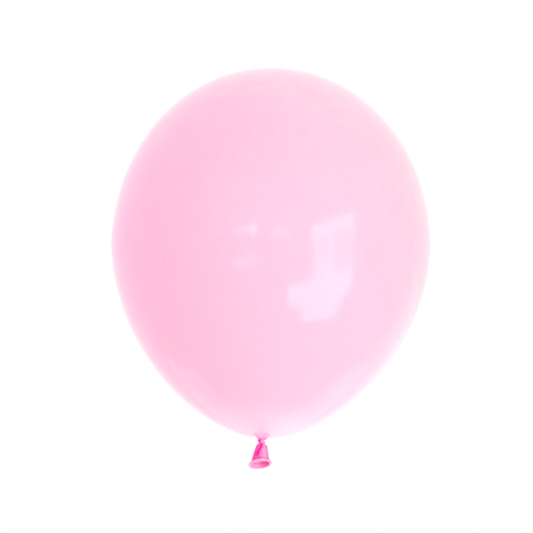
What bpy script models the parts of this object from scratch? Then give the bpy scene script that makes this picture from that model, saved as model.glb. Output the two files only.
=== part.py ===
"""An inflated and tied round latex balloon, knot down, in metres and +Z up.

The origin is the neck waist, the squeezed spot between the envelope and the knot where a
ribbon is tied. The envelope rises from there about +Z, and the knot and tail hang below it.
One dipped latex film makes the whole balloon. It is split here where it changes job, and
each piece keeps a small gap to the next.
"""

import math

import bpy

# Envelope: two half superellipses of revolution that share the equator
ENVELOPE_RADIUS = 0.150
CROWN_RISE = 0.1753
CROWN_POWER = 2.076
TAPER_DROP = 0.1826
TAPER_POWER = 1.715
POLE_HEIGHT = 0.0037
FILM = 0.0001
CROWN_POINTS = 15
TAPER_POINTS = 18
ENVELOPE_STEPS = 48

# Neck cone: where the thick unstretched neck spreads into the thin envelope
CONE_RING_RADIUS = 0.0079
CONE_FOOT_RADIUS = 0.0021
CONE_FOOT_HEIGHT = 0.0006
CONE_WALL = 0.00035
CONE_POINTS = 6

# Neck strand, knot and tail gather, stacked down the neck from the waist
WAIST_RADIUS = 0.0014
LOOP_RADIUS = 0.00205
LOOP_THICKNESS = 0.00095
LOOP_HEIGHT = -0.0025
LOOP_TILT = math.radians(8)
TUCK_RADIUS = 0.0007
TUCK_TOP = -0.00175
TUCK_FOOT = -0.0039
GATHER_RADIUS = 0.0011
GATHER_HEIGHT = -0.0054

# Tail: a flared skirt that ends in the rolled lip. It leans forward from the gather.
TAIL_LEAN = math.radians(6)
SKIRT_TOP_RADIUS = 0.0020
SKIRT_TOP_DROP = 0.0009
SHOULDER_RADIUS = 0.0048
SHOULDER_DROP = 0.0022
SHOULDER_POINTS = 4
SKIRT_FOOT_RADIUS = 0.00825
SKIRT_FOOT_DROP = 0.01665
FLARE_POWER = 0.8
FLARE_POINTS = 6
SKIRT_WALL = 0.0004
LIP_RADIUS = 0.00895
LIP_THICKNESS = 0.0012
LIP_DROP = 0.0180

GAP = 0.0003
MERGE = 0.00001
ROUND_STEPS = 32
FINE_STEPS = 20

PALE_LATEX = (1.0, 0.60, 0.78)
NECK_LATEX = (1.0, 0.45, 0.70)
KNOT_LATEX = (1.0, 0.16, 0.45)
TAIL_LATEX = (1.0, 0.28, 0.56)


def clear_scene():
    for old in list(bpy.data.objects):
        bpy.data.objects.remove(old)


def use_collection(name):
    """New objects go into this collection from here on."""
    collection = bpy.data.collections.new(name)
    bpy.context.scene.collection.children.link(collection)
    layers = bpy.context.view_layer.layer_collection.children
    bpy.context.view_layer.active_layer_collection = layers[name]
    return collection


def latex(name, colour, roughness):
    material = bpy.data.materials.new(name)
    material.use_nodes = True
    shader = material.node_tree.nodes["Principled BSDF"]
    shader.inputs["Base Color"].default_value = (*colour, 1.0)
    shader.inputs["Roughness"].default_value = roughness
    shader.inputs["Metallic"].default_value = 0.0
    return material


def turned(name, outline, material, steps, parent=None):
    """A surface of revolution about Z from (radius, height) points that run down its outside."""
    mesh = bpy.data.meshes.new(name)
    edges = [(i, i + 1) for i in range(len(outline) - 1)]
    mesh.from_pydata([(radius, 0.0, height) for radius, height in outline], edges, [])
    mesh.materials.append(material)
    piece = bpy.data.objects.new(name, mesh)
    bpy.context.view_layer.active_layer_collection.collection.objects.link(piece)
    piece.parent = parent
    turn = piece.modifiers.new("Turn", "SCREW")
    turn.axis = "Z"
    turn.steps = steps
    turn.render_steps = steps
    turn.use_merge_vertices = True
    turn.merge_threshold = MERGE
    return piece


def add_wall(piece, thickness):
    """Gives an open surface its wall, inwards from the outside."""
    wall = piece.modifiers.new("Wall", "SOLIDIFY")
    wall.thickness = thickness
    wall.offset = -1.0
    wall.use_even_offset = True
    return piece


def dress(name, material):
    """Names the primitive that was just added, shades it smooth and gives it its material."""
    piece = bpy.context.object
    piece.name = name
    piece.data.name = name
    piece.data.materials.append(material)
    piece.data.shade_smooth()
    return piece


def bead(name, material, radius, height):
    """A squeezed stretch of neck: a round bead that can turn in place on its own centre."""
    bpy.ops.mesh.primitive_uv_sphere_add(
        segments=FINE_STEPS,
        ring_count=FINE_STEPS // 2,
        radius=radius,
        location=(0.0, 0.0, height),
    )
    return dress(name, material)


def ring(name, material, radius, thickness, steps):
    bpy.ops.mesh.primitive_torus_add(
        major_segments=steps,
        minor_segments=steps // 2,
        major_radius=radius,
        minor_radius=thickness,
    )
    return dress(name, material)


def superellipse_angle(radius, power):
    """The parameter at which the envelope's outline reaches this radius."""
    return math.acos((radius / ENVELOPE_RADIUS) ** (power / 2))


def superellipse_point(angle, rise, power):
    radius = ENVELOPE_RADIUS * max(0.0, math.cos(angle)) ** (2 / power)
    return radius, rise * math.sin(angle) ** (2 / power)


def envelope_outline():
    """From the crown, over the equator, down to the open ring where the neck cone joins."""
    equator = POLE_HEIGHT + TAPER_DROP
    ring_angle = superellipse_angle(CONE_RING_RADIUS + GAP, TAPER_POWER)
    outline = [(0.0, equator + CROWN_RISE)]
    for i in range(1, CROWN_POINTS):
        angle = math.pi / 2 * (1 - i / CROWN_POINTS)
        radius, rise = superellipse_point(angle, CROWN_RISE, CROWN_POWER)
        outline.append((radius, equator + rise))
    for i in range(TAPER_POINTS + 1):
        angle = ring_angle * i / TAPER_POINTS
        radius, drop = superellipse_point(angle, TAPER_DROP, TAPER_POWER)
        outline.append((radius, equator - drop))
    return outline


def cone_outline(ring_height):
    """A bowl-sided funnel from the envelope's ring down to its foot above the waist."""
    outline = []
    for i in range(CONE_POINTS + 1):
        share = 1 - i / CONE_POINTS
        spread = math.sin(share * math.pi / 2)
        radius = CONE_FOOT_RADIUS + (CONE_RING_RADIUS - CONE_FOOT_RADIUS) * spread
        height = CONE_FOOT_HEIGHT + (ring_height - CONE_FOOT_HEIGHT) * share
        outline.append((radius, height))
    return outline


def tuck_outline():
    """The strand through the loop: a straight rod with round ends, from pole to pole."""
    quarter = [i * math.pi / 8 for i in range(5)]
    top = [
        (TUCK_RADIUS * math.sin(a), TUCK_TOP - TUCK_RADIUS * (1 - math.cos(a)))
        for a in quarter
    ]
    foot = [
        (TUCK_RADIUS * math.cos(a), TUCK_FOOT + TUCK_RADIUS * (1 - math.sin(a)))
        for a in quarter
    ]
    top[0] = (0.0, TUCK_TOP)
    foot[-1] = (0.0, TUCK_FOOT)
    return top + foot


def skirt_outline():
    """A quarter-round shoulder, then a flare that steepens towards the lip."""
    shoulder_out = SHOULDER_RADIUS - SKIRT_TOP_RADIUS
    shoulder_fall = SHOULDER_DROP - SKIRT_TOP_DROP
    outline = []
    for i in range(SHOULDER_POINTS + 1):
        angle = math.pi / 2 * i / SHOULDER_POINTS
        radius = SKIRT_TOP_RADIUS + shoulder_out * math.sin(angle)
        drop = SKIRT_TOP_DROP + shoulder_fall * (1 - math.cos(angle))
        outline.append((radius, -drop))
    for i in range(1, FLARE_POINTS + 1):
        share = i / FLARE_POINTS
        spread = share**FLARE_POWER
        radius = SHOULDER_RADIUS + (SKIRT_FOOT_RADIUS - SHOULDER_RADIUS) * spread
        drop = SHOULDER_DROP + (SKIRT_FOOT_DROP - SHOULDER_DROP) * share
        outline.append((radius, -drop))
    return outline


def build_envelope(material):
    envelope = turned("envelope", envelope_outline(), material, ENVELOPE_STEPS)
    return add_wall(envelope, FILM)


def build_neck(cone_material, strand_material):
    _, ring_height = envelope_outline()[-1]
    outline = cone_outline(ring_height - GAP)
    add_wall(turned("neck_cone", outline, cone_material, ROUND_STEPS), CONE_WALL)
    bead("neck_strand", strand_material, WAIST_RADIUS, 0.0)


def build_knot(material):
    """The loop wound round the neck, and the strand of neck tucked down through it."""
    loop = ring("knot_loop", material, LOOP_RADIUS, LOOP_THICKNESS, FINE_STEPS)
    loop.location.z = LOOP_HEIGHT
    loop.rotation_euler.y = LOOP_TILT
    turned("knot_tuck", tuck_outline(), material, FINE_STEPS)


def build_tail(skirt_material, gather_material):
    """The skirt and lip hang from an empty at the gather's centre, leaning towards -Y."""
    bead("tail_gather", gather_material, GATHER_RADIUS, GATHER_HEIGHT)
    pivot = bpy.data.objects.new("tail_pivot", None)
    bpy.context.view_layer.active_layer_collection.collection.objects.link(pivot)
    pivot.location.z = GATHER_HEIGHT
    pivot.rotation_euler.x = -TAIL_LEAN
    skirt = turned("tail_skirt", skirt_outline(), skirt_material, ROUND_STEPS, pivot)
    add_wall(skirt, SKIRT_WALL)
    lip = ring("rolled_lip", skirt_material, LIP_RADIUS, LIP_THICKNESS, ROUND_STEPS)
    lip.parent = pivot
    lip.location.z = -LIP_DROP


def main():
    clear_scene()
    use_collection("latex_balloon")
    pale = latex("latex_stretched", PALE_LATEX, 0.22)
    neck = latex("latex_neck", NECK_LATEX, 0.32)
    knot = latex("latex_knot", KNOT_LATEX, 0.38)
    tail = latex("latex_tail", TAIL_LATEX, 0.38)
    build_envelope(pale)
    build_neck(neck, knot)
    build_knot(knot)
    build_tail(tail, knot)


main()
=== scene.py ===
"""The looks of a round latex balloon: its stretched film, tied knot and rolled lip.

Every piece is latex film or rolled latex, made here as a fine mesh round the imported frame.
The scene is a plain pale floor far below, soft studio light and one window-like softbox.
"""

import math

import bpy
import numpy as np
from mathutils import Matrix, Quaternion, Vector


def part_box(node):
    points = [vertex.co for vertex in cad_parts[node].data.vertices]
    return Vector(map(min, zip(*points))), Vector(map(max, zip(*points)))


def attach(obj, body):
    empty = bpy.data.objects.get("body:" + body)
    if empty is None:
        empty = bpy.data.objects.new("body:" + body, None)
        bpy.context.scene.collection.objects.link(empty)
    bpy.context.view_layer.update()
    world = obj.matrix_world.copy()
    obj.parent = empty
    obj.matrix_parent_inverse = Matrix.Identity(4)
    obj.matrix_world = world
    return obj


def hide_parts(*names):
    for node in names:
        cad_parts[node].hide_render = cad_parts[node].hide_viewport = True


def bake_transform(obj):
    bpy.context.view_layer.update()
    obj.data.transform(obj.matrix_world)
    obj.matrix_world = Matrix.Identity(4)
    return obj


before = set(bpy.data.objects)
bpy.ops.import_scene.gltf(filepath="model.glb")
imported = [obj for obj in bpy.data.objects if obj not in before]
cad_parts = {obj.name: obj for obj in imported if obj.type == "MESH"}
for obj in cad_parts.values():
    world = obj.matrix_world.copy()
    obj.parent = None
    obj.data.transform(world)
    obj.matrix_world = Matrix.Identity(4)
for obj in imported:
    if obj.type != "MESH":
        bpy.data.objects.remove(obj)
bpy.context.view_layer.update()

MM = 0.001

# Envelope: the same two half superellipses as the CAD envelope
CROWN_POWER = 2.076
TAPER_POWER = 1.715
POLE_HEIGHT = 3.7 * MM
FILM = 0.1 * MM
CROWN_ROWS = 60
TAPER_ROWS = 84
ENVELOPE_POINTS = 176
NECK_OFFSET = 2.3 * MM
NECK_OFFSET_REACH = 12.0 * MM

# Neck cone, in the frame's own axes with the waist at the origin. The fan's edge is the
# crease where the gathered, flattened neck turns out into the round envelope. It is set a
# little into the envelope's film, so that no gap shows.
NECK_POINTS = 128
FILM_HOLE_RADIUS = 1.4 * MM
FAN_BITE = 0.03 * MM
FAN_HALF_WIDTH = 7.8 * MM
FAN_HALF_DEPTH = 1.9 * MM
FAN_TURN = math.radians(14)
FAN_SQUARENESS = 2.6
FAN_ROWS = 30
WAIST_HALF_WIDTH = 2.5 * MM
WAIST_HALF_DEPTH = 1.5 * MM
FAN_FOOT = -1.0 * MM
FAN_PLEAT_DEPTH = 0.07

# Neck strand: from inside the fan's foot down into the knot
STRAND_TOP = 0.6 * MM
STRAND_FOOT = -2.2 * MM
STRAND_PLEAT_DEPTH = 0.10

# Knot: the standing strand in front, the loop wound round behind it and a core between
KNOT_VOXEL = 0.11 * MM
STANDING_RADIUS = 1.45 * MM
STANDING_FLATNESS = 0.75
LOOP_RADIUS = 1.4 * MM
CORE_RADIUS = 1.35 * MM
STRAND_ROUTE = [(0.2, -0.2, 0.5), (0.3, -0.8, -1.1), (0.4, -1.1, -2.6), (0.8, -0.9, -3.4),
                (1.0, -0.6, -4.0)]
LOOP_ROUTE = [(1.1, -0.4, -3.6), (1.6, 0.8, -3.1), (0.5, 1.8, -2.5), (-1.2, 1.5, -2.0),
              (-2.3, 0.2, -1.9), (-1.8, -0.9, -2.4), (-0.4, -1.1, -3.4)]
CORE_ROUTE = [(-0.3, 0.2, 0.0), (-0.5, 0.4, -1.6), (-0.4, 0.3, -3.0), (-0.5, 0.2, -3.9)]

# Tail: from the gather under the knot to the rolled lip
GATHER_TOP = -3.4 * MM
TAIL_POINTS = 160
TAIL_ROWS = 80
TAIL_WALL = 0.35 * MM
GATHER_ROWS = 26
GATHER_FOOT_SHARE = 0.045
PINCHED_DEPTH = 1.1 * MM
SHOULDER_DEPTH = 2.0 * MM
LIP_OVERLAP = 1.9 * MM
FOLD_ANGLE = math.radians(92)
FOLD_DRIFT = math.radians(26)
BACK_FOLDS = ((math.radians(245), 0.30, 0.26), (math.radians(305), 0.22, 0.22))
LIP_POINTS = 144
LIP_SIDES = 28
LIP_TILT = math.radians(8)
LIP_SHIFT = -0.9 * MM
LIP_THICKNESS = 1.2 * MM

# Camera and light
LENS = 85.0
CAMERA_DISTANCE = 1.19
CAMERA_ELEVATION = math.radians(-26)
CAMERA_ROLL = math.radians(1.917)
AIM_OFFSET = Vector((-1.1, 0.0, -18.2)) * MM
FLOOR_DROP = 1.6
FLOOR_RADIUS = 9.0
STUDIO_LEVELS = {
    "X": ((0.90, 0.83, 1.12), (0.74, 0.685, 0.57)),
    "Y": ((1.12, 1.12, 1.12), (1.04, 1.02, 1.02)),
    "Z": ((1.0, 1.0, 1.0), (1.10, 1.06, 1.08)),
}
SWEEP = 0.55
WINDOW = 3.1


def smooth(low, high, value):
    """0 at low, 1 at high, with a smooth step between."""
    share = np.clip((value - low) / (high - low), 0.0, 1.0)
    return share * share * (3 - 2 * share)


def bump_at(value, centre, width):
    """A rounded bump, 1 at its centre and near 0 past two widths."""
    return np.exp(-(((value - centre) / width) ** 2))


# ---------------------------------------------------------------- mesh tools


def make_object(name, points, faces):
    mesh = bpy.data.meshes.new(name)
    mesh.from_pydata([tuple(p) for p in points], [], faces)
    mesh.validate()
    mesh.shade_smooth()
    piece = bpy.data.objects.new(name, mesh)
    bpy.context.scene.collection.objects.link(piece)
    return piece


def ring_faces(rows, around, wrap_rows=False):
    """Quads between rings that follow each other, wound to face out as the rings run down."""
    faces = []
    for row in range(rows if wrap_rows else rows - 1):
        here = row * around
        below = (row + 1) % rows * around
        for i in range(around):
            j = (i + 1) % around
            faces.append((here + i, below + i, below + j, here + j))
    return faces


def loft(name, rings, wrap_rows=False):
    """A mesh through rings of points: closed end to end, or capped by a fan at each end."""
    rows, around, _ = rings.shape
    points = rings.reshape(-1, 3)
    faces = ring_faces(rows, around, wrap_rows=wrap_rows)
    if not wrap_rows:
        top, foot = len(points), len(points) + 1
        points = np.vstack([points, rings[0].mean(0), rings[-1].mean(0)])
        last = (rows - 1) * around
        for i in range(around):
            j = (i + 1) % around
            faces.append((top, i, j))
            faces.append((foot, last + j, last + i))
    return make_object(name, points, faces)


def around_circle(count):
    """Angles once round, from +X towards -Y, the side the camera looks at."""
    return np.arange(count) * 2 * math.pi / count


def mark(piece, name, values):
    """Keeps one value for each point of the piece, for its material to read."""
    layer = piece.data.attributes.new(name, "FLOAT", "POINT")
    filled = np.full(len(piece.data.vertices), float(values.mean()))
    filled[: values.size] = values.ravel()
    layer.data.foreach_set("value", filled)


# ---------------------------------------------------------------- envelope


def envelope_facts():
    """The CAD envelope's radius, equator height, crown height and ring height."""
    low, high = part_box("envelope")
    widest = max(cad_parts["envelope"].data.vertices, key=lambda v: abs(v.co.x))
    return (high.x - low.x) / 2, widest.co.z, high.z, low.z


def envelope_profile(inset):
    """(radius, height) rows from just under the crown's pole to the hole above the fan."""
    radius, equator, crown, _ = envelope_facts()
    hole_angle = math.acos((FILM_HOLE_RADIUS / radius) ** (TAPER_POWER / 2))
    radius -= inset
    rise = crown - equator - inset
    drop = equator - POLE_HEIGHT - inset
    up = np.linspace(math.pi / 2, 0, CROWN_ROWS, endpoint=False)[1:]
    down = hole_angle * np.linspace(0, 1, TAPER_ROWS) ** 0.8
    radii = np.concatenate(
        [radius * np.cos(up) ** (2 / CROWN_POWER), radius * np.cos(down) ** (2 / TAPER_POWER)]
    )
    heights = np.concatenate(
        [
            equator + rise * np.sin(up) ** (2 / CROWN_POWER),
            equator - drop * np.sin(down) ** (2 / TAPER_POWER),
        ]
    )
    return radii, heights


def lean_of(height):
    """How far the envelope's axis stands off the neck's, over the last stretch by the ring."""
    _, _, _, ring = envelope_facts()
    return NECK_OFFSET * smooth(ring, ring + NECK_OFFSET_REACH, height)


def turn(radii, heights, angles):
    x = radii[:, None] * np.cos(angles) + lean_of(heights)[:, None]
    y = -radii[:, None] * np.sin(angles)
    z = np.repeat(heights[:, None], len(angles), 1)
    return np.stack([x, y, z], -1)


def build_envelope():
    """The blown-up film: an outer skin and an inner one, joined round the neck's hole."""
    angles = around_circle(ENVELOPE_POINTS)
    outer = turn(*envelope_profile(0.0), angles)
    inner = turn(*envelope_profile(FILM), angles)[::-1]
    rings = np.concatenate([outer, inner])
    rows, around, _ = rings.shape
    _, _, crown, _ = envelope_facts()
    poles = [(NECK_OFFSET, 0.0, crown), (NECK_OFFSET, 0.0, crown - FILM)]
    points = np.vstack([rings.reshape(-1, 3), poles])
    faces = ring_faces(rows, around)
    top = len(points) - 2
    last = (rows - 1) * around
    for i in range(around):
        j = (i + 1) % around
        faces.append((top, i, j))
        faces.append((top + 1, last + j, last + i))
    return make_object("envelope_film", points, faces)


# ---------------------------------------------------------------- neck


def oval_rings(heights, half_x, half_y, centre_x, angles):
    """Oval sections, one per height."""
    x = centre_x[:, None] + half_x[:, None] * np.cos(angles)
    y = -half_y[:, None] * np.sin(angles)
    z = np.repeat(heights[:, None], len(angles), 1)
    return np.stack([x, y, z], -1)


def pleated(rings, count, depth, phase):
    """Pulls rings in and out by pleats that run along the film. depth is one value per ring."""
    centre = rings.mean(1, keepdims=True)
    angles = around_circle(rings.shape[1])
    wave = np.cos(count * angles + phase) + 0.5 * np.cos((2 * count - 3) * angles + 2 * phase)
    scale = 1 + depth[:, None] * wave / 1.5
    return centre + (rings - centre) * scale[..., None]


def taper_height(radius):
    """The height of the envelope's outside at this radius, below its equator."""
    full, equator, _, _ = envelope_facts()
    drop = equator - POLE_HEIGHT
    return equator - drop * (1 - (radius / full) ** TAPER_POWER) ** (1 / TAPER_POWER)


def squared_oval(half_x, half_y, squareness, angles):
    """A flattened section between an ellipse, at squareness 2, and a rectangle."""
    cos, sin = np.cos(angles), np.sin(angles)
    x = half_x * np.sign(cos) * np.abs(cos) ** (2 / squareness)
    y = -half_y * np.sign(sin) * np.abs(sin) ** (2 / squareness)
    return np.stack([x, y], -1)


def turned_by(points, angle):
    """XY points turned about Z."""
    cos, sin = math.cos(angle), math.sin(angle)
    return points @ np.array([[cos, sin], [-sin, cos]])


def fan_row(angles, share):
    """One level of the fan: 0 at its crease under the envelope, 1 at the waist."""
    spread = (1 - share) ** 0.9
    half_x = WAIST_HALF_WIDTH + (FAN_HALF_WIDTH - WAIST_HALF_WIDTH) * spread
    half_y = WAIST_HALF_DEPTH + (FAN_HALF_DEPTH - WAIST_HALF_DEPTH) * spread
    squareness = 2 + (FAN_SQUARENESS - 2) * (1 - share)
    folds = np.cos(9 * angles + 0.6) + 0.6 * np.cos(15 * angles + 2.0)
    depth = FAN_PLEAT_DEPTH * smooth(0.1, 0.9, share)
    flat = squared_oval(half_x, half_y, squareness, angles) * (1 + depth * folds)[:, None]
    return turned_by(flat, FAN_TURN * (1 - share))


def build_neck_cone():
    """The fan: the neck pressed flat under the envelope, gathered in pleats at the waist."""
    angles = around_circle(NECK_POINTS)
    rows = []
    for share in np.linspace(0.0, 1.0, FAN_ROWS):
        flat = fan_row(angles, share)
        if not rows:
            crease = taper_height(np.linalg.norm(flat, axis=1)) + FAN_BITE
        height = crease + (FAN_FOOT - crease) * share
        rows.append(np.hstack([flat, height[:, None]]))
    outer = np.array(rows)
    inner = outer[::-1] * np.array([0.96, 0.88, 1.0])
    piece = loft("neck_cone_film", np.concatenate([outer, inner]), wrap_rows=True)
    gathered = np.linspace(0.0, 1.0, FAN_ROWS)
    gathered = np.repeat(np.concatenate([gathered, gathered[::-1]])[:, None], len(angles), 1)
    mark(piece, "gathered", gathered)
    return piece


def build_neck_strand():
    """The gathered strand from the fan down into the knot."""
    share = np.linspace(0, 1, 24)
    heights = STRAND_TOP + (STRAND_FOOT - STRAND_TOP) * share
    half_x = (2.5 - 0.95 * smooth(0.0, 0.8, share)) * MM
    half_y = (1.45 - 0.35 * smooth(0.0, 0.9, share)) * MM
    centre = 0.35 * MM * smooth(0.2, 1.0, share)
    rings = oval_rings(heights, half_x, half_y, centre, around_circle(96))
    rings = pleated(rings, 9, STRAND_PLEAT_DEPTH * np.ones_like(share), 0.6)
    return loft("neck_strand_film", rings)


# ---------------------------------------------------------------- knot


def curve_through(points, steps=10):
    """A smooth curve through given points in millimetres, as Catmull-Rom spans."""
    points = np.array(points) * MM
    ends = np.vstack([2 * points[0] - points[1], points, 2 * points[-1] - points[-2]])
    path = []
    for before, start, end, after in zip(ends, ends[1:], ends[2:], ends[3:]):
        for t in np.arange(steps) / steps:
            slope_in, slope_out = (end - before) / 2, (after - start) / 2
            path.append(
                start * (1 - 3 * t**2 + 2 * t**3)
                + end * (3 * t**2 - 2 * t**3)
                + slope_in * (t - 2 * t**2 + t**3)
                + slope_out * (t**3 - t**2)
            )
    path.append(points[-1])
    return np.array(path)


def tube_rings(route, radius, flatness=1.0, sides=36):
    """Rings of a pleated tube along the route, carried along it without twist."""
    path = curve_through(route)
    tangent = np.gradient(path, axis=0)
    tangent /= np.linalg.norm(tangent, axis=1, keepdims=True)
    angles = around_circle(sides)
    section = radius * (1 + 0.03 * np.cos(9 * angles))
    side = Vector((1.0, 0.0, 0.0))
    rings = []
    for point, forward in zip(path, tangent):
        forward = Vector(forward)
        side = (side - forward * side.dot(forward)).normalized()
        across = forward.cross(side)
        wide = np.outer(section * np.cos(angles), side)
        thin = np.outer(section * np.sin(angles) * flatness, across)
        rings.append(point + wide + thin)
    return np.array(rings)


def build_knot():
    """The tied knot: its strands are swept tubes, fused where they press on each other."""
    strands = [
        loft("standing_strand", tube_rings(STRAND_ROUTE, STANDING_RADIUS, STANDING_FLATNESS)),
        loft("knot_film", tube_rings(LOOP_ROUTE, LOOP_RADIUS)),
        loft("core_strand", tube_rings(CORE_ROUTE, CORE_RADIUS)),
    ]
    bpy.ops.object.select_all(action="DESELECT")
    for strand in strands:
        strand.select_set(True)
    knot = strands[1]
    bpy.context.view_layer.objects.active = knot
    bpy.ops.object.join()
    fuse = knot.modifiers.new("Fuse", "REMESH")
    fuse.mode = "VOXEL"
    fuse.voxel_size = KNOT_VOXEL
    fuse.use_smooth_shade = True
    soften = knot.modifiers.new("Soften", "SMOOTH")
    soften.factor = 0.5
    soften.iterations = 3
    return knot


# ---------------------------------------------------------------- tail


def tail_frame():
    """The gather's centre, the lip's centre and the tail's length between them."""
    low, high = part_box("tail_gather")
    gather = (low + high) / 2
    low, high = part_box("rolled_lip")
    lip = (low + high) / 2
    return gather, lip, (lip - gather).length


def tail_centre(share):
    """Points down the middle of the tail."""
    gather, lip, _ = tail_frame()
    start = np.array(gather)
    return start + (np.array(lip) - start) * share[:, None]


def tail_edges(share):
    """The tail's left and right edges, seen from the front: it hangs a little to the left."""
    gathered = smooth(-0.09, 0.07, share)
    down = np.maximum(share, 0)
    left = -2.9 - 1.25 * gathered - 6.3 * down + 1.3 * down**3
    right = 2.0 + 2.3 * gathered + 3.9 * down - 0.7 * down**2
    return left * MM, right * MM


def tail_depth(share):
    """Half the tail's depth: flat under the knot and as deep as it is wide at the lip."""
    low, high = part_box("rolled_lip")
    foot_depth = (high.x - low.x) / 2 - LIP_OVERLAP
    start = PINCHED_DEPTH + (SHOULDER_DEPTH - PINCHED_DEPTH) * smooth(-0.09, 0.07, share)
    return start + (foot_depth - SHOULDER_DEPTH) * np.maximum(share, 0) ** 0.9


def tail_lean():
    """The turn that carries straight down onto the tail's own axis."""
    gather, lip, _ = tail_frame()
    return np.array(Vector((0, 0, -1)).rotation_difference(lip - gather).to_matrix())


def tail_rings(share, inset):
    """The tail's sections with their folds, each set across the tail's own axis."""
    angles = around_circle(TAIL_POINTS)
    left, right = tail_edges(share)
    half_x = (right - left) / 2 - inset
    half_y = tail_depth(share) - inset
    scale = 1 + tail_folds(share[:, None], angles[None, :])
    x = np.cos(angles)[None, :] * half_x[:, None] * scale + ((left + right) / 2)[:, None]
    y = -np.sin(angles)[None, :] * half_y[:, None] * scale
    z = x * math.tan(LIP_TILT) * smooth(0.35, 1.0, share)[:, None]
    rings = np.stack([x, y, z], -1) @ tail_lean().T
    return rings + tail_centre(share)[:, None, :]


def front_fold(share):
    """Where the deep front fold lies round the tail: it drifts to the left on its way down."""
    return FOLD_ANGLE + FOLD_DRIFT * smooth(0.0, 0.5, share)


def tail_folds(share, angles):
    """Relative ins and outs of the tail: one deep front fold, two behind and fine pleats."""
    fade = 1 - smooth(0.42, 0.85, share)
    front = front_fold(share)
    folds = -0.50 * bump_at(angles, front, 0.22) * smooth(-0.13, 0.12, share) * fade
    folds = folds + 0.12 * bump_at(angles, front - 0.55, 0.30) * smooth(0.0, 0.25, share) * fade
    folds = folds + 0.08 * bump_at(angles, front + 0.45, 0.2) * fade
    for angle, depth, width in BACK_FOLDS:
        folds = folds - depth * bump_at(angles, angle, width) * smooth(0, 0.2, share) * fade
    pleats = 0.05 * np.cos(13 * angles + 0.8) + 0.03 * np.cos(21 * angles + 2.0)
    folds = folds + pleats * (1 - smooth(0.0, 0.55, share))
    return folds - 0.045 * bump_at(share, 0.87, 0.035)


def tail_fold_and_shade(share, angles):
    """How deep in colour the film is made: 1 where it is bunched in the front fold, 0 where it is
    spread. Painted shade and light are in it too: deeper on the shaded left edge, in the fold's
    crease and in a band above the lip, paler on the lit right facet.
    """
    front = front_fold(share)
    fade = 1 - smooth(0.45, 0.8, share)
    # Painted shade: the left edge, the side away from the light, is made deeper.
    value = 0.55 + 0.45 * bump_at(angles, math.radians(170), 0.65)
    # The front fold is deeper: partly its bunched film, partly painted shade in its crease.
    value = value + 0.80 * bump_at(angles, front, 0.20) * smooth(-0.12, 0.1, share) * fade
    # Painted light: the right facet, which faces the light, is made paler.
    value = value - 0.45 * bump_at(angles, math.radians(62), 0.42) * smooth(-0.05, 0.1, share)
    # Painted shade: a deeper band in the groove just above the lip.
    value = value + 0.30 * bump_at(share, 0.84, 0.05)
    return np.clip(value, 0.0, 1.0)


def build_tail_gather():
    """The pleated start of the tail, from under the knot into the top of the skirt."""
    gather, _, length = tail_frame()
    top = (gather.z - GATHER_TOP) / length
    share = np.linspace(top, GATHER_FOOT_SHARE, GATHER_ROWS)
    rings = tail_rings(share, 0.0)
    tuck = 0.12 * smooth(-0.01, 0.03, share) + 0.6 * (1 - smooth(top, top + 0.06, share))
    centre = rings.mean(1, keepdims=True)
    piece = loft("tail_gather_film", rings + (centre - rings) * tuck[:, None, None])
    mark(piece, "fold_and_shade", tail_fold_and_shade(share[:, None], around_circle(TAIL_POINTS)[None, :]))
    return piece


def build_tail_skirt():
    share = np.linspace(0.0, 1.0, TAIL_ROWS)
    angles = around_circle(TAIL_POINTS)
    outer = tail_rings(share, 0.0)
    inner = tail_rings(share, TAIL_WALL)[::-1]
    piece = loft("tail_skirt_film", np.concatenate([outer, inner]), wrap_rows=True)
    # Painted shade inside the mouth: the inner wall is made deeper towards the right.
    inside = 0.34 + 0.34 * np.cos(angles)[None, :] * np.ones((TAIL_ROWS, 1))
    outside = tail_fold_and_shade(share[:, None], angles[None, :])
    mark(piece, "fold_and_shade", np.concatenate([outside, inside]))
    return piece


def build_lip():
    """The rolled bead: round, a little uneven along its length, tilted with the skirt."""
    _, lip, _ = tail_frame()
    low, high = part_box("rolled_lip")
    across = around_circle(LIP_POINTS)
    thick = LIP_THICKNESS * (0.86 + 0.14 * np.sin(across) + 0.04 * np.cos(3 * across + 0.5))
    major = (high.x - low.x) / 2 - thick[None, :]
    sides = around_circle(LIP_SIDES)
    radius = major + thick[None, :] * np.cos(sides)[:, None]
    x = radius * np.cos(across)[None, :]
    y = -radius * np.sin(across)[None, :]
    z = -thick[None, :] * np.sin(sides)[:, None] + x * math.tan(LIP_TILT)
    rings = np.stack([x, y, z], -1)
    rings = rings @ tail_lean().T + np.array(lip) + np.array([LIP_SHIFT, 0.0, 0.0])
    return loft("lip_bead", rings, wrap_rows=True)


# ---------------------------------------------------------------- materials


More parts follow.
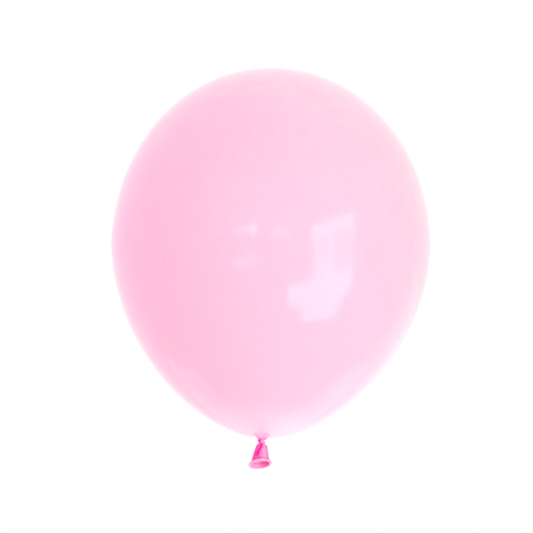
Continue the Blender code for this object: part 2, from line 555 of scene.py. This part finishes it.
class Nodes:
    """One new material and a short hand for building its node tree."""

    def __init__(self, name):
        self.material = bpy.data.materials.new(name)
        self.material.use_nodes = True
        self.tree = self.material.node_tree
        self.shader = self.tree.nodes["Principled BSDF"]

    def add(self, kind, **settings):
        node = self.tree.nodes.new(kind)
        for name, value in settings.items():
            setattr(node, name, value)
        return node

    def join(self, source, target):
        self.tree.links.new(source, target)

    def place(self):
        return self.add("ShaderNodeTexCoord").outputs["Object"]

    def noise(self, scale, detail=3.0, stretch=(1.0, 1.0, 1.0)):
        mapping = self.add("ShaderNodeMapping")
        mapping.inputs["Scale"].default_value = stretch
        texture = self.add("ShaderNodeTexNoise")
        texture.inputs["Scale"].default_value = scale
        texture.inputs["Detail"].default_value = detail
        self.join(self.place(), mapping.inputs["Vector"])
        self.join(mapping.outputs["Vector"], texture.inputs["Vector"])
        return texture.outputs["Fac"]

    def remap(self, value, low, high, to_low, to_high):
        node = self.add("ShaderNodeMapRange")
        node.interpolation_type = "SMOOTHSTEP"
        node.inputs["From Min"].default_value = low
        node.inputs["From Max"].default_value = high
        node.inputs["To Min"].default_value = to_low
        node.inputs["To Max"].default_value = to_high
        self.join(value, node.inputs["Value"])
        return node.outputs["Result"]

    def marked(self, name):
        return self.add("ShaderNodeAttribute", attribute_name=name).outputs["Fac"]

    def distance_from(self, point, stretch=(1.0, 1.0, 1.0)):
        offset = self.add("ShaderNodeVectorMath", operation="SUBTRACT")
        offset.inputs[1].default_value = point
        self.join(self.place(), offset.inputs[0])
        scaled = self.add("ShaderNodeVectorMath", operation="MULTIPLY")
        scaled.inputs[1].default_value = stretch
        self.join(offset.outputs["Vector"], scaled.inputs[0])
        length = self.add("ShaderNodeVectorMath", operation="LENGTH")
        self.join(scaled.outputs["Vector"], length.inputs[0])
        return length.outputs["Value"]

    def mix(self, factor, first, second):
        node = self.add("ShaderNodeMix", data_type="RGBA")
        self.join(factor, node.inputs["Factor"])
        for socket, colour in ((node.inputs[6], first), (node.inputs[7], second)):
            if isinstance(colour, tuple):
                socket.default_value = (*colour, 1.0)
            else:
                self.join(colour, socket)
        return node.outputs[2]

    def bump(self, layers):
        """layers is a list of (height, strength, distance), stacked."""
        normal = None
        for height, strength, distance in layers:
            node = self.add("ShaderNodeBump")
            node.inputs["Strength"].default_value = strength
            node.inputs["Distance"].default_value = distance
            self.join(height, node.inputs["Height"])
            if normal is not None:
                self.join(normal, node.inputs["Normal"])
            normal = node.outputs["Normal"]
        self.join(normal, self.shader.inputs["Normal"])


LATEX_IOR = 1.52
FILM_PINK = (0.99, 0.545, 0.665)
LOW_FILM_PINK = (0.985, 0.475, 0.615)
# Painted light: a paler pink that brightens the film round the neck.
NECK_PAINTED_LIGHT_PINK = (0.99, 0.64, 0.76)
CLOUD_PINK = (0.99, 0.48, 0.62)
MOTTLE_PINK = (0.99, 0.47, 0.62)
GRAIN_PINK = (0.97, 0.43, 0.59)
FAN_PINK = (0.99, 0.42, 0.63)
FAN_CLOUD_PINK = (0.99, 0.37, 0.60)
KNOT_PINK = (0.99, 0.14, 0.44)
CROWN_PINK = (0.98, 0.40, 0.64)
# Painted shade on the knot: a lit pink for its right side and a deep pink for its shaded left side,
# the deep one also used for its clouds.
KNOT_LIT_PINK = (0.99, 0.33, 0.60)
KNOT_SHADED_AND_CLOUD_PINK = (0.98, 0.012, 0.38)
# Tail pinks: the pale one also carries painted light, the deep one painted shade.
TAIL_SPREAD_AND_LIT = (0.99, 0.39, 0.65)
TAIL_BUNCHED_AND_SHADED = (0.98, 0.012, 0.36)
LIP_LIGHT = (0.99, 0.42, 0.64)
LIP_DARK = (0.99, 0.31, 0.55)


def film_colour(nodes):
    """Pale pink, a little deeper towards the neck, cloudy and grainy."""
    parts = nodes.add("ShaderNodeSeparateXYZ")
    nodes.join(nodes.place(), parts.inputs["Vector"])
    lower = nodes.remap(parts.outputs["Z"], 0.03, 0.30, 1.0, 0.0)
    colour = nodes.mix(lower, FILM_PINK, LOW_FILM_PINK)
    clouds = nodes.remap(nodes.noise(9.0, 4.0), 0.3, 0.7, 0.0, 0.6)
    colour = nodes.mix(clouds, colour, CLOUD_PINK)
    mottle = nodes.remap(nodes.noise(70.0, 5.0), 0.35, 0.7, 0.0, 0.45)
    colour = nodes.mix(mottle, colour, MOTTLE_PINK)
    streaks = nodes.remap(nodes.noise(45.0, 2.0, (1.0, 1.0, 0.12)), 0.45, 0.75, 0.0, 0.35)
    colour = nodes.mix(streaks, colour, CLOUD_PINK)
    grain = nodes.remap(nodes.noise(420.0, 2.0), 0.45, 0.8, 0.0, 0.55)
    return nodes.mix(grain, colour, GRAIN_PINK)


def stretched_latex():
    """Thin tight film: pale and glossy, with a deeper spot at the crown, and painted light that
    makes it paler round the neck.
    """
    nodes = Nodes("stretched_film")
    _, _, crown, _ = envelope_facts()
    crown_spot = nodes.remap(nodes.distance_from((NECK_OFFSET, 0.0, crown)), 0.005, 0.017, 0.55, 0.0)
    colour = nodes.mix(crown_spot, film_colour(nodes), CROWN_PINK)
    away = nodes.distance_from((0.0, 0.0, 0.0))
    # Painted light: the film is made paler round the neck, where the bottom of the envelope looks
    # brighter.
    colour = nodes.mix(nodes.remap(away, 0.01, 0.06, 0.7, 0.0), colour, NECK_PAINTED_LIGHT_PINK)
    nodes.join(colour, nodes.shader.inputs["Base Color"])
    dust = nodes.remap(nodes.noise(60.0, 5.0), 0.35, 0.75, 0.11, 0.19)
    powder = nodes.add("ShaderNodeMath", operation="ADD")
    nodes.join(dust, powder.inputs[0])
    nodes.join(nodes.remap(away, 0.010, 0.055, 0.28, 0.0), powder.inputs[1])
    nodes.join(powder.outputs["Value"], nodes.shader.inputs["Roughness"])
    nodes.shader.inputs["IOR"].default_value = LATEX_IOR
    nodes.shader.inputs["Sheen Weight"].default_value = 0.40
    nodes.shader.inputs["Sheen Roughness"].default_value = 0.45
    nodes.bump(
        [
            (nodes.noise(26.0, 2.0), 0.35, 0.0006),
            (nodes.noise(900.0, 2.0), 0.10, 0.00006),
        ]
    )
    return nodes.material


def thick_surface(nodes, colour, roughness, grain):
    """Satin latex with fine wrinkles along it."""
    nodes.join(colour, nodes.shader.inputs["Base Color"])
    patches = nodes.remap(nodes.noise(500.0, 3.0), 0.3, 0.7, roughness - 0.05, roughness + 0.08)
    nodes.join(patches, nodes.shader.inputs["Roughness"])
    nodes.shader.inputs["IOR"].default_value = LATEX_IOR
    nodes.bump(
        [
            (nodes.noise(grain, 3.0, (1.0, 1.0, 0.25)), 0.5, 0.00012),
            (nodes.noise(4000.0, 2.0), 0.15, 0.00003),
        ]
    )


def thick_latex(name, light, dark, roughness, grain=900.0):
    """Unstretched or gathered film: strong colour with soft clouds in it."""
    nodes = Nodes(name)
    clouds = nodes.remap(nodes.noise(260.0, 3.0), 0.3, 0.7, 0.0, 1.0)
    thick_surface(nodes, nodes.mix(clouds, light, dark), roughness, grain)
    return nodes.material


def knot_surface():
    """The knot: painted shade makes its left side, where the loop lies, deeper than the standing
    strand at the front right.
    """
    nodes = Nodes("knot_latex")
    parts = nodes.add("ShaderNodeSeparateXYZ")
    nodes.join(nodes.place(), parts.inputs["Vector"])
    # Painted shade: the knot is made deeper on its left side, the side away from the light.
    shaded_left_side = nodes.remap(parts.outputs["X"], -1.5 * MM, -0.3 * MM, 1.0, 0.0)
    colour = nodes.mix(shaded_left_side, KNOT_LIT_PINK, KNOT_SHADED_AND_CLOUD_PINK)
    clouds = nodes.remap(nodes.noise(300.0, 3.0), 0.3, 0.7, 0.0, 0.35)
    colour = nodes.mix(clouds, colour, KNOT_SHADED_AND_CLOUD_PINK)
    thick_surface(nodes, colour, 0.34, 1100.0)
    return nodes.material


def fold_and_shade_latex(name, spread, bunched, roughness):
    """Tail film: pale where it is spread out and on the facet with painted light, deep where it is
    bunched up in folds and where painted shade falls.
    """
    nodes = Nodes(name)
    clouds = nodes.remap(nodes.noise(300.0, 3.0), 0.3, 0.7, 0.0, 0.25)
    # The tail's mark, with its painted shade and light, sets how deep the colour is.
    deep = nodes.remap(nodes.marked("fold_and_shade"), 0.05, 0.95, 0.0, 1.0)
    colour = nodes.mix(clouds, nodes.mix(deep, spread, bunched), bunched)
    thick_surface(nodes, colour, roughness, 1100.0)
    return nodes.material


def fan_latex():
    """The neck cone: paler along the crease under the envelope, deep pink at the waist."""
    nodes = Nodes("fan_film")
    clouds = nodes.remap(nodes.noise(300.0, 3.0), 0.3, 0.7, 0.0, 0.5)
    colour = nodes.mix(clouds, FAN_PINK, FAN_CLOUD_PINK)
    gathered = nodes.marked("gathered")
    colour = nodes.mix(nodes.remap(gathered, 0.45, 1.0, 0.0, 0.75), colour, KNOT_PINK)
    pale = nodes.remap(gathered, 0.0, 0.35, 0.85, 0.0)
    colour = nodes.mix(pale, colour, FILM_PINK)
    thick_surface(nodes, colour, 0.24, 1200.0)
    return nodes.material


# ---------------------------------------------------------------- studio


def build_floor():
    bpy.ops.mesh.primitive_circle_add(
        vertices=96, radius=FLOOR_RADIUS, fill_type="NGON", location=(0.0, 0.0, -FLOOR_DROP)
    )
    floor = bpy.context.object
    floor.name = "studio_floor"
    nodes = Nodes("studio_floor")
    tone = nodes.remap(nodes.noise(1.5, 2.0), 0.3, 0.7, 0.0, 1.0)
    colour = nodes.mix(tone, (0.90, 0.90, 0.90), (0.88, 0.88, 0.885))
    nodes.join(colour, nodes.shader.inputs["Base Color"])
    nodes.shader.inputs["Roughness"].default_value = 0.8
    floor.data.materials.append(nodes.material)


def studio_level(tree):
    """The studio's brightness each way: six levels, mixed by the square of the direction."""
    place = tree.nodes.new("ShaderNodeTexCoord")
    parts = tree.nodes.new("ShaderNodeSeparateXYZ")
    tree.links.new(place.outputs["Generated"], parts.inputs["Vector"])
    total = None
    for axis, (minus, plus) in STUDIO_LEVELS.items():
        square = tree.nodes.new("ShaderNodeMath")
        square.operation = "POWER"
        square.inputs[1].default_value = 2.0
        tree.links.new(parts.outputs[axis], square.inputs[0])
        side = tree.nodes.new("ShaderNodeMath")
        side.operation = "GREATER_THAN"
        side.inputs[1].default_value = 0.0
        tree.links.new(parts.outputs[axis], side.inputs[0])
        level = tree.nodes.new("ShaderNodeMix")
        level.data_type = "RGBA"
        level.inputs[6].default_value = (*minus, 1.0)
        level.inputs[7].default_value = (*plus, 1.0)
        tree.links.new(side.outputs["Value"], level.inputs["Factor"])
        share = tree.nodes.new("ShaderNodeVectorMath")
        share.operation = "MULTIPLY_ADD"
        tree.links.new(level.outputs[2], share.inputs[0])
        tree.links.new(square.outputs["Value"], share.inputs[1])
        if total is not None:
            tree.links.new(total, share.inputs[2])
        total = share.outputs["Vector"]
    return total


def build_world():
    """White all round to look at. As light it is weaker and pinker from the left."""
    world = bpy.data.worlds.new("studio")
    bpy.context.scene.world = world
    world.use_nodes = True
    tree = world.node_tree
    light = tree.nodes["Background"]
    tree.links.new(studio_level(tree), light.inputs["Color"])
    seen = tree.nodes.new("ShaderNodeBackground")
    seen.inputs["Color"].default_value = (1.0, 1.0, 1.0, 1.0)
    path = tree.nodes.new("ShaderNodeLightPath")
    choose = tree.nodes.new("ShaderNodeMixShader")
    tree.links.new(path.outputs["Is Camera Ray"], choose.inputs["Fac"])
    tree.links.new(light.outputs["Background"], choose.inputs[1])
    tree.links.new(seen.outputs["Background"], choose.inputs[2])
    tree.links.new(choose.outputs["Shader"], tree.nodes["World Output"].inputs["Surface"])


class Rig:
    """A flat frame of softbox panes that faces the envelope's middle from one direction."""

    def __init__(self, name, azimuth, elevation, distance, roll=0.0):
        _, equator, _, _ = envelope_facts()
        azimuth, elevation = math.radians(azimuth), math.radians(elevation)
        out = Vector(
            (
                math.sin(azimuth) * math.cos(elevation),
                -math.cos(azimuth) * math.cos(elevation),
                math.sin(elevation),
            )
        )
        self.name = name
        self.count = 0
        self.middle = Vector((NECK_OFFSET, 0.0, equator)) + out * distance
        facing = (-out).to_track_quat("-Z", "Y")
        self.turn = facing @ Quaternion((0.0, 0.0, 1.0), math.radians(roll))

    def pane(self, left, right, foot, top, brightness):
        """A pane of even brightness. It lights and is mirrored, but isn't seen itself."""
        lamp = bpy.data.lights.new(self.name, "AREA")
        lamp.shape = "RECTANGLE"
        lamp.size = right - left
        lamp.size_y = top - foot
        lamp.energy = brightness * math.pi * lamp.size * lamp.size_y
        self.count += 1
        box = bpy.data.objects.new(f"{self.name}_{self.count}", lamp)
        box.location = self.middle + self.turn @ Vector(((left + right) / 2, (foot + top) / 2, 0))
        box.rotation_mode = "QUATERNION"
        box.rotation_quaternion = self.turn
        box.visible_camera = False
        bpy.context.scene.collection.objects.link(box)


def build_window():
    """The tall window at the right: a bright column, a crossbar, a dim pane and a low sill."""
    window = Rig("window", 48, -20, 1.5, 29)
    window.pane(-0.39, -0.02, -0.10, 0.12, WINDOW)
    window.pane(-0.39, -0.28, 0.12, 0.38, WINDOW)
    window.pane(-0.28, -0.10, 0.12, 0.38, 0.45 * WINDOW)
    window.pane(-0.10, -0.02, 0.12, 0.38, WINDOW)
    window.pane(-0.39, 0.47, 0.38, 0.56, WINDOW)
    window.pane(-0.02, 0.42, -0.10, 0.38, 0.45 * WINDOW)
    window.pane(-0.45, 0.34, -0.40, -0.10, WINDOW)
    window.pane(-0.95, -0.45, -0.40, -0.12, WINDOW)
    window.pane(-0.62, 0.15, -0.62, -0.40, WINDOW)


def build_front_lights():
    """Small far lamps in front: two short bars and a patch below them."""
    front = Rig("front", -8, -18, 1.5)
    front.pane(-0.46, -0.14, 0.14, 0.21, 2.6)
    front.pane(-0.14, -0.05, 0.12, 0.22, 8.0)
    front.pane(0.24, 0.56, 0.09, 0.17, 2.6)
    front.pane(-0.46, -0.20, -0.30, -0.18, 1.8)
    front.pane(-0.24, -0.06, -0.22, -0.12, 1.8)


def build_sweep_light():
    """A wide low panel behind, like a lit paper sweep, that brightens the bottom rim."""
    sweep = Rig("sweep", 180, -42, 1.8)
    sweep.pane(-2.0, 2.0, -0.6, 0.6, SWEEP)


def build_backdrop_light():
    """A tall panel behind on the right, whose near edge draws the crescent by the rim."""
    back = Rig("backdrop", 135, -15, 1.8)
    back.pane(-0.40, 1.3, -1.6, 0.9, 0.25)


def build_camera():
    _, equator, _, _ = envelope_facts()
    middle = Vector((NECK_OFFSET, 0.0, equator))
    back = Vector((0.0, -math.cos(CAMERA_ELEVATION), math.sin(CAMERA_ELEVATION)))
    aim = Vector((0.0, 0.0, equator)) + AIM_OFFSET
    camera = bpy.data.objects.new("camera", bpy.data.cameras.new("camera"))
    camera.data.lens = LENS
    camera.location = middle + back * CAMERA_DISTANCE
    facing = (aim - camera.location).to_track_quat("-Z", "Y")
    camera.rotation_mode = "QUATERNION"
    camera.rotation_quaternion = facing @ Quaternion((0.0, 0.0, 1.0), CAMERA_ROLL)
    bpy.context.scene.collection.objects.link(camera)
    bpy.context.scene.camera = camera


def build_studio():
    bpy.context.scene.view_settings.view_transform = "Standard"
    build_floor()
    build_world()
    build_window()
    build_front_lights()
    build_backdrop_light()
    build_sweep_light()


# ---------------------------------------------------------------- assembly


def finish_piece(piece, material, slot, *nodes):
    piece.data.materials.append(material)
    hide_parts(*nodes)


def place_neck(knot_latex):
    """The fan and the strand, baked in place."""
    cone = build_neck_cone()
    finish_piece(cone, fan_latex(), "latex_neck", "neck_cone")
    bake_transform(cone)

    strand = build_neck_strand()
    finish_piece(strand, knot_latex, "latex_knot", "neck_strand")
    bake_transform(strand)


def place_tail():
    """The gather, the skirt and the lip; the lip is attached to the tail's body."""
    film = fold_and_shade_latex("tail_latex", TAIL_SPREAD_AND_LIT, TAIL_BUNCHED_AND_SHADED, 0.34)

    gather = build_tail_gather()
    finish_piece(gather, film, "latex_knot", "tail_gather")
    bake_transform(gather)

    skirt = build_tail_skirt()
    finish_piece(skirt, film, "latex_tail", "tail_skirt")
    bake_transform(skirt)

    lip = build_lip()
    lip_latex = thick_latex("lip_latex", LIP_LIGHT, LIP_DARK, 0.28)
    finish_piece(lip, lip_latex, "latex_tail", "rolled_lip")
    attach(lip, "tail")


def main():
    build_camera()
    build_studio()

    envelope = build_envelope()
    finish_piece(envelope, stretched_latex(), "latex_stretched", "envelope")
    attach(envelope, "envelope")

    knot_latex = knot_surface()
    place_neck(knot_latex)

    knot = build_knot()
    finish_piece(knot, knot_latex, "latex_knot", "knot_loop", "knot_tuck")
    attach(knot, "knot")

    place_tail()


main()
